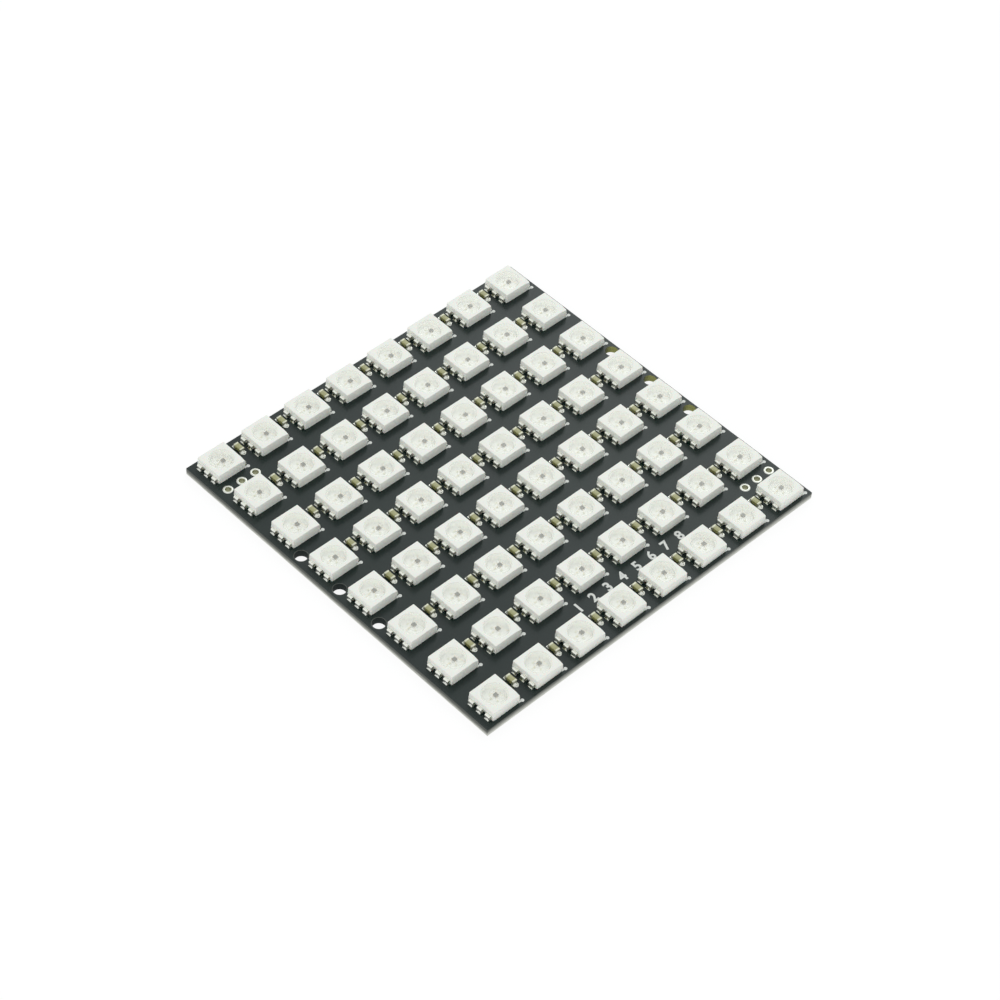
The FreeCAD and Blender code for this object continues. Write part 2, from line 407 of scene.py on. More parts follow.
def printed_circuit_board(finish):
    """Black solder mask, curtain coated over copper and glass laminate, with cut and drilled edges.

    The mask is satin, with a faint orange-peel swell. The edges show the laminate's fibres, painted
    dark at the top and pale towards the underside as painted light from below. The drilled walls are
    painted near black as painted shade, apart from the ones at +X, which have a painted olive glow."""
    material, tree = new_finish("printed_circuit_board")
    place = add(tree, "TexCoord").outputs["Object"]
    normal = add(tree, "SeparateXYZ", {0: add(tree, "NewGeometry").outputs["Normal"]})
    at = add(tree, "SeparateXYZ", {0: place})
    up = add(tree, "Math", {0: normal.outputs["Z"]}, operation="ABSOLUTE").outputs[0]
    is_face = add(tree, "Math", {0: up, 1: 0.5}, operation="GREATER_THAN").outputs[0]
    along_x = add(tree, "Math", {0: normal.outputs["X"]}, operation="ABSOLUTE").outputs[0]
    is_scored = add(tree, "Math", {0: along_x, 1: 0.98}, operation="GREATER_THAN").outputs[0]
    off_x = add(tree, "Math", {0: at.outputs["X"]}, operation="ABSOLUTE").outputs[0]
    off_y = add(tree, "Math", {0: at.outputs["Y"]}, operation="ABSOLUTE").outputs[0]
    near_x = (BOARD_HIGH.x - EDGE_ZONE) * MM
    near_y = (BOARD_HIGH.y - EDGE_ZONE) * MM
    inside_x = add(tree, "Math", {0: off_x, 1: near_x}, operation="LESS_THAN").outputs[0]
    inside_y = add(tree, "Math", {0: off_y, 1: near_y}, operation="LESS_THAN").outputs[0]
    is_hole = add(tree, "Math", {0: inside_x, 1: inside_y}, operation="MULTIPLY").outputs[0]
    # Fibres run along the edges, about 0.1 mm apart and some millimetres long
    stretched = add(tree, "Mapping", {"Vector": place, "Scale": (0.12, 0.12, 1.6)})
    fibres = add(tree, "TexNoise", {
        "Vector": stretched.outputs["Vector"], "Scale": per_metre(0.25), "Detail": 4.0, "Roughness": 0.7})
    # Painted light: the edges are painted paler towards the underside, as if lit by the white floor below,
    # and darker towards the top. The fall-off is steeper on the edges that face along X
    painted_floor_glow = add(tree, "MapRange", {
        "Value": at.outputs["Z"], "From Min": 0.0, "From Max": BOARD_TOP * MM, "To Min": 1.0, "To Max": 0.0})
    streaks = add(tree, "MapRange", {
        "Value": fibres.outputs["Fac"], "From Min": 0.3, "From Max": 0.7, "To Min": -0.15, "To Max": 0.15})
    painted_glow_and_fibres = add(tree, "Math", {0: painted_floor_glow.outputs[0], 1: streaks.outputs[0]}, operation="ADD", use_clamp=True)
    rise = add(tree, "MapRange", {"Value": is_scored, "To Min": 1.3, "To Max": 2.6})
    tone = add(tree, "Math", {0: painted_glow_and_fibres.outputs[0], 1: rise.outputs[0]}, operation="POWER").outputs[0]
    outer = add(tree, "Mix", {
        FACTOR: tone, FIRST: tuple(finish.laminate), SECOND: tuple(finish.painted_glow_laminate)},
        data_type="RGBA").outputs[MIXED]
    # Painted light and shade on the screw holes' walls: near-black mask colour as painted shade, turning to
    # a painted olive glow towards +X, where only a thin web of laminate parts a hole from the edge
    web = add(tree, "MapRange", {
        "Value": at.outputs["X"], "From Min": (BOARD_HIGH.x - PAINTED_GLOW_START) * MM,
        "From Max": (BOARD_HIGH.x - PAINTED_GLOW_BRIGHTEST) * MM})
    drilled = add(tree, "Mix", {
        FACTOR: web.outputs[0], FIRST: tuple(finish.mask), SECOND: tuple(finish.painted_hole_glow)},
        data_type="RGBA").outputs[MIXED]
    edge = add(tree, "Mix", {FACTOR: is_hole, FIRST: outer, SECOND: drilled},
               data_type="RGBA").outputs[MIXED]
    # The mask looks a little greener over bare laminate than over the copper
    pour = add(tree, "TexNoise", {"Vector": place, "Scale": per_metre(11), "Detail": 2.0})
    patch = add(tree, "MapRange", {"Value": pour.outputs["Fac"], "From Min": 0.42, "From Max": 0.58})
    greenish = tinted(finish.mask, 0.95, 1.08, 0.98)
    mask = add(tree, "Mix", {FACTOR: patch.outputs[0], FIRST: tuple(finish.mask), SECOND: greenish},
               data_type="RGBA").outputs[MIXED]
    colour = add(tree, "Mix", {FACTOR: is_face, FIRST: edge, SECOND: mask}, data_type="RGBA")
    # Curtain-coated lacquer has an orange-peel swell of about half a millimetre
    swell = add(tree, "TexNoise", {"Vector": place, "Scale": per_metre(0.6), "Detail": 2.0})
    relief = add(tree, "Mix", {FACTOR: is_face, 2: fibres.outputs["Fac"], 3: swell.outputs["Fac"]},
                 data_type="FLOAT")
    depth = add(tree, "MapRange", {"Value": is_face, "To Min": 0.9, "To Max": 0.10})
    bump = add(tree, "Bump", {
        "Height": relief.outputs[0], "Strength": depth.outputs[0], "Distance": 0.03 * MM})
    rough = add(tree, "MapRange", {"Value": is_face, "To Min": 0.75, "To Max": 0.3})
    surface(tree, {
        "Base Color": colour.outputs[MIXED],
        "Roughness": rough.outputs[0],
        "Normal": bump.outputs["Normal"],
        "IOR": 1.43,
    })
    return material


def hot_tinned_metal(name, colour, roughness, grain, depth):
    """Metal dipped or plated with tin: bright, with a soft grain that breaks up its reflections."""
    material, tree = new_finish(name)
    place = add(tree, "TexCoord").outputs["Object"]
    noise = add(tree, "TexNoise", {"Vector": place, "Scale": per_metre(grain), "Detail": 2.0})
    bump = add(tree, "Bump", {"Height": noise.outputs["Fac"], "Strength": 0.5, "Distance": depth * MM})
    rough = add(tree, "MapRange", {
        "Value": noise.outputs["Fac"], "To Min": roughness * 0.8, "To Max": roughness * 1.3})
    surface(tree, {
        "Base Color": tuple(colour),
        "Metallic": 1.0,
        "Roughness": rough.outputs[0],
        "Normal": bump.outputs["Normal"],
    })
    return material


def patterned_silicon(finish):
    """Polished silicon with etched circuit blocks: dark, glossy and faintly chequered."""
    material, tree = new_finish("patterned_silicon")
    place = add(tree, "TexCoord").outputs["Object"]
    blocks = add(tree, "TexBrick", {
        "Vector": place, "Scale": per_metre(0.12), "Mortar Size": 0.03, "Bias": 0.1,
        "Color1": tuple(finish.silicon), "Color2": tinted(finish.silicon, 1.5, 1.5, 1.5),
        "Mortar": tinted(finish.silicon, 0.6, 0.6, 0.6)})
    surface(tree, {"Base Color": blocks.outputs["Color"], "Metallic": 0.2, "Roughness": 0.35, "IOR": 1.8})
    return material


def sawn_crystal(finish):
    """Crystal wafer, sawn into dies: clear and pale, with frosted sides."""
    material, tree = new_finish("sawn_crystal")
    place = add(tree, "TexCoord").outputs["Object"]
    grain = add(tree, "TexNoise", {"Vector": place, "Scale": per_metre(0.03), "Detail": 2.0})
    rough = add(tree, "MapRange", {"Value": grain.outputs["Fac"], "To Min": 0.15, "To Max": 0.5})
    surface(tree, {"Base Color": tuple(finish.die), "Roughness": rough.outputs[0], "IOR": 1.77})
    return material


def drawn_gold(finish):
    """Gold, drawn into fine wire: warm and bright along its length."""
    material, tree = new_finish("drawn_gold")
    place = add(tree, "TexCoord").outputs["Object"]
    noise = add(tree, "TexNoise", {"Vector": place, "Scale": per_metre(0.05), "Detail": 1.0})
    rough = add(tree, "MapRange", {"Value": noise.outputs["Fac"], "To Min": 0.15, "To Max": 0.3})
    surface(tree, {"Base Color": tuple(finish.gold), "Metallic": 1.0, "Roughness": rough.outputs[0]})
    return material


# Share of the light that the filling's white powder catches
MILKINESS = 0.28


def cast_diffusing_silicone(finish):
    """Silicone with a little white powder, poured and cured: faintly milky, with a soft gloss."""
    material, tree = new_finish("cast_diffusing_silicone")
    place = add(tree, "TexCoord").outputs["Object"]
    swell = add(tree, "TexNoise", {"Vector": place, "Scale": per_metre(1.5), "Detail": 1.0})
    bump = add(tree, "Bump", {"Height": swell.outputs["Fac"], "Strength": 0.2, "Distance": 0.02 * MM})
    clear = add(tree, "BsdfTransparent", {"Color": tuple(finish.filling)})
    powder = add(tree, "BsdfDiffuse", {"Color": tuple(finish.powder), "Normal": bump.outputs["Normal"]})
    milky = add(tree, "MixShader", {"Fac": MILKINESS, 1: clear.outputs[0], 2: powder.outputs[0]})
    gloss = add(tree, "BsdfGlossy", {"Roughness": 0.12, "Normal": bump.outputs["Normal"]})
    mirrored = add(tree, "Fresnel", {"IOR": 1.41, "Normal": bump.outputs["Normal"]})
    whole = add(tree, "MixShader", {"Fac": mirrored.outputs[0], 1: milky.outputs[0], 2: gloss.outputs[0]})
    add(tree, "OutputMaterial", {"Surface": whole.outputs[0]})
    return material


def fired_ceramic(finish):
    """Barium titanate, pressed and fired: olive, dull, with fine pores."""
    material, tree = new_finish("fired_ceramic")
    place = add(tree, "TexCoord").outputs["Object"]
    tone = add(tree, "TexNoise", {"Vector": place, "Scale": per_metre(5), "Detail": 1.0})
    darker = tinted(finish.ceramic, 0.75, 0.78, 0.7)
    colour = add(tree, "Mix", {FACTOR: tone.outputs["Fac"], FIRST: tuple(finish.ceramic), SECOND: darker},
                 data_type="RGBA")
    pores = add(tree, "TexNoise", {"Vector": place, "Scale": per_metre(0.08), "Detail": 3.0})
    bump = add(tree, "Bump", {"Height": pores.outputs["Fac"], "Strength": 0.4, "Distance": 0.01 * MM})
    surface(tree, {
        "Base Color": colour.outputs[MIXED],
        "Roughness": 0.38,
        "Normal": bump.outputs["Normal"],
        "IOR": 1.9,
    })
    return material


def drilled_laminate(finish):
    """Glass laminate, left bare by the mask round a hole: dull, woven and olive."""
    material, tree = new_finish("drilled_laminate")
    place = add(tree, "TexCoord").outputs["Object"]
    weave = add(tree, "TexChecker", {
        "Vector": place, "Scale": per_metre(0.4), "Color1": tuple(finish.laminate),
        "Color2": tinted(finish.laminate, 0.8, 0.8, 0.8)})
    surface(tree, {"Base Color": weave.outputs["Color"], "Roughness": 0.6, "IOR": 1.5})
    return material


def screen_printed_ink(finish):
    """Epoxy ink, screen printed: matt white with slightly ragged cover over the dark mask."""
    material, tree = new_finish("screen_printed_ink")
    place = add(tree, "TexCoord").outputs["Object"]
    cover = add(tree, "TexNoise", {"Vector": place, "Scale": per_metre(0.15), "Detail": 2.0})
    thin = add(tree, "MapRange", {
        "Value": cover.outputs["Fac"], "From Min": 0.5, "From Max": 0.75, "To Max": 0.3})
    colour = add(tree, "Mix", {
        FACTOR: thin.outputs[0], FIRST: tuple(finish.ink), SECOND: tuple(finish.mask)}, data_type="RGBA")
    surface(tree, {"Base Color": colour.outputs[MIXED], "Roughness": 0.55, "IOR": 1.5})
    return material


def lathe(bm, profile, steps, closed=False):
    """Spins a line of (radius, height) points once round the Z axis."""
    verts = [bm.verts.new((radius, 0, height)) for radius, height in profile]
    pairs = list(zip(verts, verts[1:]))
    if closed:
        pairs.append((verts[-1], verts[0]))
    edges = [bm.edges.new(pair) for pair in pairs]
    bmesh.ops.spin(bm, geom=verts + edges, cent=(0, 0, 0), axis=(0, 0, 1), angle=2 * math.pi,
                   steps=steps, use_merge=True, use_duplicate=False)
    bmesh.ops.remove_doubles(bm, verts=bm.verts[:], dist=MERGE_DISTANCE)


def region(faces):
    """Faces with their edges and corners, as the operators that sweep them need."""
    edges = {edge for face in faces for edge in face.edges}
    verts = {vert for face in faces for vert in face.verts}
    return [*faces, *edges, *verts]


def push(bm, faces, way):
    """Extrudes faces along a straight run, and gives back the faces at its end."""
    made = bmesh.ops.extrude_face_region(bm, geom=region(faces))["geom"]
    bmesh.ops.translate(bm, verts=[item for item in made if isinstance(item, bmesh.types.BMVert)], vec=way)
    return [item for item in made if isinstance(item, bmesh.types.BMFace)]


def raise_faces(bm, faces, height, across_x=1.0, across_y=None):
    """Extrudes faces straight up and scales their copy, by the same share both ways if one is given."""
    faces = push(bm, faces, (0, 0, height))
    verts = {vert for face in faces for vert in face.verts}
    bmesh.ops.scale(bm, verts=list(verts), vec=(across_x, across_y or across_x, 1))
    return faces


def block(bm, low, high, bevel=0.0, segments=1):
    """Box between two corners, with its edges bevelled."""
    low, high = Vector(low), Vector(high)
    size = Matrix.Diagonal((*(high - low), 1))
    made = bmesh.ops.create_cube(bm, size=1, matrix=Matrix.Translation((low + high) / 2) @ size)["verts"]
    if bevel:
        edges = list({edge for vert in made for edge in vert.link_edges})
        bmesh.ops.bevel(bm, geom=edges, offset=bevel, offset_type="OFFSET", affect="EDGES",
                        segments=segments, profile=0.5, material=-1)


def repeat(unit, places):
    """Copies of a small mesh, one for each place, in one mesh."""
    pattern = bpy.data.meshes.new("pattern")
    unit.to_mesh(pattern)
    unit.free()
    copies = bmesh.new()
    for place in places:
        before = len(copies.verts)
        copies.from_mesh(pattern)
        copies.verts.ensure_lookup_table()
        bmesh.ops.transform(copies, matrix=place, verts=copies.verts[before:])
    bpy.data.meshes.remove(pattern)
    return copies


def add_piece(name, bm, material, replaced=()):
    """Makes a piece of a mesh in millimetres, and fixes it to the panel."""
    bmesh.ops.recalc_face_normals(bm, faces=bm.faces[:])
    bm.transform(Matrix.Scale(MM, 4))
    mesh = bpy.data.meshes.new(name)
    bm.to_mesh(mesh)
    bm.free()
    mesh.materials.append(material)
    mesh.shade_smooth()
    mesh.set_sharp_from_angle(angle=SMOOTH_ANGLE)
    piece = bpy.data.objects.new(name, mesh)
    bpy.context.scene.collection.objects.link(piece)
    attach(piece, "root")
    if replaced:
        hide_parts(*replaced)
    return piece


SHARED = {}


def shared_finish(make, *details):
    """The material that a function makes, made once for all the pieces that have it."""
    key = (make.__name__, *(detail for detail in details if isinstance(detail, str)))
    if key not in SHARED:
        SHARED[key] = make(*details)
    return SHARED[key]


def light_places(row, columns=range(COLUMNS)):
    """Where the lights of a row stand on the board."""
    return [Matrix.Translation((COLUMN_X[column], ROW_Y[row], BOARD_TOP)) for column in columns]


def lead_places(row):
    """Where the leads of a row's lights stand, each with its own +X pointing out of the housing."""
    package = bpy.context.scene.package_sizes
    reach = (LEAD_ROW_LENGTH - package.lead_width / MM) / 2
    return [
        light @ Matrix.Rotation(turn, 4, "Z") @ Matrix.Translation((0, offset, 0))
        for light in light_places(row) for turn in (0, math.pi) for offset in (-reach, 0, reach)
    ]


def tin(finish):
    return shared_finish(hot_tinned_metal, "plated_tin", finish.tin, 0.4, 0.12, 0.006)


def solder(finish):
    return shared_finish(hot_tinned_metal, "reflowed_solder", finish.solder, 0.14, 0.3, 0.012)


CUP_STEPS = 40


def housing_unit(sizes):
    """Housing in two tiers, with rounded edges, its mould line, its corner mark and the reflector cup."""
    bm = bmesh.new()
    flash_reach = 1.2
    floor_fillet = 0.05
    inset = 1 - 2 * sizes.lead_recess / HOUSING_SIZE
    bmesh.ops.create_grid(bm, x_segments=1, y_segments=1, size=HOUSING_SIZE / 2)
    bmesh.ops.scale(bm, verts=bm.verts[:], vec=(inset, 1, 1))
    bmesh.ops.bevel(bm, geom=bm.verts[:], offset=sizes.corner_radius, offset_type="OFFSET",
                    affect="VERTICES", segments=2, profile=0.5, material=-1)
    slope = sizes.draft / HOUSING_SIZE / HOUSING_HEIGHT
    out = 1 + flash_reach * sizes.flash / HOUSING_SIZE
    faces = raise_faces(bm, bm.faces[:], FRAME_HEIGHT - sizes.flash, 1 - slope * FRAME_HEIGHT)
    faces = raise_faces(bm, faces, 0, out / inset, out)
    faces = raise_faces(bm, faces, sizes.flash)
    faces = raise_faces(bm, faces, 0, 1 / out)
    above = HOUSING_HEIGHT - FRAME_HEIGHT
    raise_faces(bm, faces, above, 1 - slope * above)
    slice_corner(bm, sizes)
    rim = list({edge for face in top_faces(bm) for edge in face.edges})
    bmesh.ops.bevel(bm, geom=rim, offset=sizes.edge_radius, offset_type="OFFSET", affect="EDGES",
                    segments=2, profile=0.5, material=-1)
    bmesh.ops.delete(bm, geom=top_faces(bm), context="FACES_ONLY")
    floor_radius = sizes.cup_radius - sizes.cup_wall_run
    floor_z = FRAME_HEIGHT - sizes.floor_drop
    lip = [
        (sizes.cup_radius + sizes.lip * (1 - math.sin(turn)),
         HOUSING_HEIGHT - sizes.lip * (1 - math.cos(turn)))
        for turn in (0, math.pi / 6, math.pi / 3)
    ]
    foot = [(floor_radius + floor_fillet, floor_z + 0.06), (floor_radius - 0.04, floor_z), (0, floor_z)]
    lathe(bm, lip + foot, CUP_STEPS)
    bmesh.ops.triangle_fill(bm, edges=open_edges(bm), use_beauty=True)
    add_posts(bm, sizes)
    return bm


def add_posts(bm, sizes):
    """Posts at the corners of the lower tier, between which the leads come down."""
    inside_wall = 0.005
    overlap = 0.05
    far = HOUSING_SIZE / 2 - inside_wall
    near_x = HOUSING_SIZE / 2 - sizes.lead_recess - overlap
    near_y = (LEAD_ROW_LENGTH + sizes.flash) / 2
    for side_x in (-1, 1):
        for side_y in (-1, 1):
            ends_x = sorted((side_x * near_x, side_x * far))
            ends_y = sorted((side_y * near_y, side_y * far))
            block(bm, (ends_x[0], ends_y[0], 0), (ends_x[1], ends_y[1], FRAME_HEIGHT - LET_IN),
                  bevel=0.03)


def top_faces(bm):
    """Faces of a housing that lie flat at its top."""
    level = HOUSING_HEIGHT - MERGE_DISTANCE
    return [face for face in bm.faces if min(vert.co.z for vert in face.verts) > level]


def open_edges(bm):
    return [edge for edge in bm.edges if edge.is_boundary]


def slice_corner(bm, sizes):
    """Cuts the slanted facet that marks the housing's corner at +X, -Y, and closes it."""
    middle = (HOUSING_SIZE - sizes.draft - sizes.corner_mark_length) / 2
    steepness = sizes.corner_mark_length / sizes.corner_mark_depth
    bmesh.ops.bisect_plane(
        bm, geom=bm.verts[:] + bm.edges[:] + bm.faces[:], dist=MERGE_DISTANCE, clear_outer=True,
        plane_co=(middle, -middle, HOUSING_HEIGHT), plane_no=(1, -1, steepness))
    bmesh.ops.edgeloop_fill(bm, edges=open_edges(bm))


def plate(sizes, x_range, y_range):
    """Part of the metal frame that shows on the cup's floor, between these limits."""
    bm = bmesh.new()
    radius = sizes.cup_radius - sizes.cup_wall_run + 0.02
    bmesh.ops.create_circle(bm, cap_ends=True, segments=CUP_STEPS, radius=radius)
    bmesh.ops.translate(bm, verts=bm.verts[:], vec=(0, 0, FRAME_HEIGHT - sizes.plate_depth))
    for axis, limits in enumerate((x_range, y_range)):
        for limit, side in zip(limits, (-1, 1)):
            if abs(limit) < radius:
                point = [0, 0, 0]
                point[axis] = limit
                normal = [0, 0, 0]
                normal[axis] = side
                bmesh.ops.bisect_plane(
                    bm, geom=bm.verts[:] + bm.edges[:] + bm.faces[:], dist=MERGE_DISTANCE,
                    plane_co=point, plane_no=normal, clear_outer=True)
    raise_faces(bm, bm.faces[:], sizes.plate_depth)
    return bm


def join(units):
    """Several small meshes as one."""
    whole = bmesh.new()
    for unit in units:
        pattern = bpy.data.meshes.new("pattern")
        unit.to_mesh(pattern)
        unit.free()
        whole.from_mesh(pattern)
        bpy.data.meshes.remove(pattern)
    return whole


def plates_unit(sizes):
    """The plate that carries the chips, and three plates for the wires at each side of it."""
    far = sizes.cup_radius
    half = sizes.plate_half_width
    inner = half + sizes.plate_gap
    split = LEAD_ROW_LENGTH / 6
    gap = sizes.plate_gap / 2
    bands = [(-far, -split - gap), (-split + gap, split - gap), (split + gap, far)]
    units = [plate(sizes, (-half, half), (-far, far))]
    for band in bands:
        units.append(plate(sizes, (-far, -inner), band))
        units.append(plate(sizes, (inner, far), band))
    return join(units)


# Light-giving chips on the middle plate: red, green and blue
DIE_PLACES = ((-0.5, 0.1), (-0.12, 0.78), (-0.08, -0.72))
# Where the wires meet the driver chip, as a share of its side, and the plates beyond the gap
BOND_SHARE = 0.36
BOND_REACH = 0.14


def dies_unit(sizes):
    """The three light-giving chips of a light."""
    bm = bmesh.new()
    half = sizes.die_size / 2
    top = FRAME_HEIGHT + sizes.die_height
    for x, y in DIE_PLACES:
        block(bm, (x - half, y - half, FRAME_HEIGHT), (x + half, y + half, top), bevel=0.02)
    return bm


def wire_ends(sizes):
    """Both ends of each bond wire of a light."""
    chip = Vector((CHIP_X, CHIP_Y, CHIP_TOP))
    inset = CHIP_SIZE * BOND_SHARE
    corner = [chip + Vector((x * inset, y * inset, 0)) for x, y in
              ((-1, -1), (-1, 0.1), (-1, 1), (1, 1), (1, 0), (1, -1))]
    dies = [Vector((x, y, FRAME_HEIGHT + sizes.die_height)) for x, y in DIE_PLACES]
    bond = sizes.plate_half_width + sizes.plate_gap + BOND_REACH
    across = LEAD_ROW_LENGTH / 3
    islands = [Vector((bond, y * across, FRAME_HEIGHT)) for y in (0.75, 0, -0.75)]
    supply = Vector((-bond, 0, FRAME_HEIGHT))
    return [
        (corner[1], dies[0]), (corner[2], dies[1]), (corner[0], dies[2]),
        (corner[3], islands[0]), (corner[4], islands[1]), (corner[5], islands[2]),
        (dies[0], supply),
    ]


def wires_unit(sizes):
    """Bond wires: each is a thin round wire, spun over half a turn and then flattened to its rise."""
    units = []
    for start, end in wire_ends(sizes):
        run = end - start
        length = run.xy.length
        bm = bmesh.new()
        bmesh.ops.create_circle(bm, cap_ends=True, segments=5, radius=sizes.wire_radius)
        bmesh.ops.spin(bm, geom=bm.verts[:] + bm.edges[:] + bm.faces[:], cent=(length / 2, 0, 0),
                       axis=(0, 1, 0), angle=math.pi, steps=6, use_merge=False, use_duplicate=False)
        bmesh.ops.scale(bm, verts=bm.verts[:], vec=(1, 1, 2 * sizes.wire_rise / length))
        slope = Matrix.Identity(4)
        slope[2][0] = run.z / length
        turn = Matrix.Rotation(math.atan2(run.y, run.x), 4, "Z")
        bmesh.ops.transform(bm, matrix=Matrix.Translation(start) @ turn @ slope, verts=bm.verts[:])
        units.append(bm)
    return join(units)


def filling_unit(sizes):
    """Filling, let a little into the walls and floor of the cup, with its surface sunken."""
    brim = HOUSING_HEIGHT - sizes.lip
    rings = [
        (sizes.cup_radius * share, brim - sizes.meniscus * (1 - share ** 2))
        for share in (0, 0.35, 0.65, 0.88)
    ]
    let_in = 0.015
    bottom = FRAME_HEIGHT - sizes.floor_drop - let_in
    floor_radius = sizes.cup_radius - sizes.cup_wall_run + let_in
    bm = bmesh.new()
    lathe(bm, rings + [(sizes.cup_radius + let_in, brim), (floor_radius, bottom), (0, bottom)], CUP_STEPS)
    return bm


def lead_unit(sizes):
    """Lead: a strip that leaves the wall, bends down to the board and turns in under the housing."""
    bm = bmesh.new()
    half = sizes.lead_thickness / 2
    inner_x = HOUSING_SIZE / 2 - sizes.lead_recess - 0.03
    strip = (Matrix.Translation((inner_x, 0, FRAME_HEIGHT - half))
             @ Matrix.Rotation(math.pi / 2, 4, "Y") @ Matrix.Diagonal((half, sizes.lead_width / 2, 1, 1)))
    bmesh.ops.create_grid(bm, x_segments=1, y_segments=1, size=1, matrix=strip)
    outer = sizes.bend_radius + sizes.lead_thickness
    centre_x = HOUSING_SIZE / 2 + sizes.lead_stand_off - outer
    upper = FRAME_HEIGHT - outer
    end = push(bm, bm.faces[:], (centre_x - inner_x, 0, 0))
    end = bend(bm, end, (centre_x, 0, upper))
    end = push(bm, end, (0, 0, outer - upper))
    end = bend(bm, end, (centre_x, 0, outer))
    push(bm, end, (inner_x - centre_x, 0, 0))
    return bm


def bend(bm, faces, centre):
    """Turns the end of a strip through a right angle about a centre."""
    made = bmesh.ops.spin(bm, geom=region(faces), cent=centre, axis=(0, 1, 0), angle=math.pi / 2,
                          steps=3, use_merge=False, use_duplicate=False)["geom_last"]
    return [item for item in made if isinstance(item, bmesh.types.BMFace)]


def fillet_unit(start, tip, width, height):
    """Solder that runs down concave from metal at start to the pad at tip, along +X."""
    bm = bmesh.new()
    thin = 0.04
    bmesh.ops.create_cube(bm, size=1, matrix=Matrix.Translation((0.5, 0, 0.5)))
    bmesh.ops.subdivide_edges(bm, edges=bm.edges[:], cuts=2, use_grid_fill=True)
    for vert in bm.verts:
        out, side, up = vert.co
        # It falls away at its sides, thins towards the tip and narrows there
        crown = 1 - 0.8 * (2 * abs(side)) ** 4
        thickness = thin + (height - thin) * (1 - out) ** 1.7 * crown
        vert.co = (start + (tip - start) * out, side * width * (1 - 0.3 * out ** 2), up * thickness)
    return bm


class LIGHT_PANEL_OT_stage(bpy.types.Operator):
    """Make the pale floor, the soft lights and the camera"""

    bl_idname = "light_panel.stage"
    bl_label = "Stage"

    def execute(self, context):
        make_floor()
        make_world(context.scene)
        make_lights()
        make_camera(context.scene)
        return {"FINISHED"}


FLOOR_SIZE = 3000
FLOOR_Z = -0.02
# Shares of the floor's own light: as the camera sees it, and as the panel gets it from below
FLOOR_GLOW = 0.85
FLOOR_SEEN_LEVEL = 1.03
FLOOR_BOUNCE_LEVEL = 0.85
ROOM_LEVEL = 0.88


def make_floor():
    """Plain white floor. It keeps the panel's faint shadow, and lights the panel evenly from below."""
    bm = bmesh.new()
    bmesh.ops.create_grid(bm, x_segments=1, y_segments=1, size=FLOOR_SIZE / 2 * MM)
    bmesh.ops.translate(bm, verts=bm.verts[:], vec=(0, 0, FLOOR_Z * MM))
    mesh = bpy.data.meshes.new("floor")
    bm.to_mesh(mesh)
    bm.free()
    material, tree = new_finish("white_floor")
    path = add(tree, "LightPath")
    shaded = add(tree, "BsdfDiffuse", {"Color": (0.9, 0.9, 0.9, 1)})
    glow = add(tree, "Emission", {"Color": (1, 1, 1, 1), "Strength": FLOOR_SEEN_LEVEL})
    kept = add(tree, "MixShader", {"Fac": FLOOR_GLOW, 1: shaded.outputs[0], 2: glow.outputs[0]})
    even = add(tree, "Emission", {"Color": (1, 1, 1, 1), "Strength": FLOOR_BOUNCE_LEVEL})
    bounced = add(tree, "MixShader", {
        "Fac": path.outputs["Is Diffuse Ray"], 1: kept.outputs[0], 2: even.outputs[0]})
    # Seen from beneath, the floor is clear, so that the panel's underside shows
    clear = add(tree, "BsdfTransparent")
    sided = add(tree, "MixShader", {
        "Fac": add(tree, "NewGeometry").outputs["Backfacing"], 1: bounced.outputs[0], 2: clear.outputs[0]})
    add(tree, "OutputMaterial", {"Surface": sided.outputs[0]})
    mesh.materials.append(material)
    floor = bpy.data.objects.new("floor", mesh)
    bpy.context.scene.collection.objects.link(floor)


def make_world(scene):
    """Even studio light from all round, with white behind the panel."""
    world = bpy.data.worlds.new("studio")
    world.use_nodes = True
    tree = world.node_tree
    tree.nodes.clear()
    path = add(tree, "LightPath")
    room = add(tree, "Background", {"Color": (0.98, 1.0, 1.0, 1), "Strength": ROOM_LEVEL})
    white = add(tree, "Background", {"Color": (1, 1, 1, 1), "Strength": 1.0})
    seen = add(tree, "MixShader", {
        "Fac": path.outputs["Is Camera Ray"], 1: room.outputs[0], 2: white.outputs[0]})
    add(tree, "OutputWorld", {"Surface": seen.outputs[0]})
    scene.world = world
    scene.view_settings.view_transform = "Standard"


def make_softbox(name, azimuth, elevation, distance, size, radiance, colour=(1, 1, 1)):
    """Square softbox aimed at the panel. Azimuth is from +X towards +Y, and radiance is what it shows."""
    light = bpy.data.lights.new(name, "AREA")
    light.shape = "SQUARE"
    light.size = size
    light.color = colour
    light.energy = radiance * math.pi * size ** 2
    box = bpy.data.objects.new(name, light)
    across = math.radians(azimuth)
    above = math.radians(elevation)
    place = distance * Vector((
        math.cos(across) * math.cos(above), math.sin(across) * math.cos(above), math.sin(above)))
    box.location = place
    box.rotation_mode = "QUATERNION"
    box.rotation_quaternion = place.to_track_quat("Z", "Y")
    bpy.context.scene.collection.objects.link(box)


def make_lights():
    """Key softbox at the camera's left, and a smaller one behind the panel at the right."""
    make_softbox("key_softbox", 195, 27, 0.9, 0.6, 0.83)
    make_softbox("back_softbox", 30, 34, 0.8, 0.45, 1.7, (0.96, 1.0, 0.99))


CAMERA_PLACE = Vector((-189.648, -179.923, 286.014))
CAMERA_AIM = Vector((-1.836, -1.986, 0))
CAMERA_ROLL = math.radians(3.906)
CAMERA_LENS = 96.613
CAMERA_SENSOR = 36


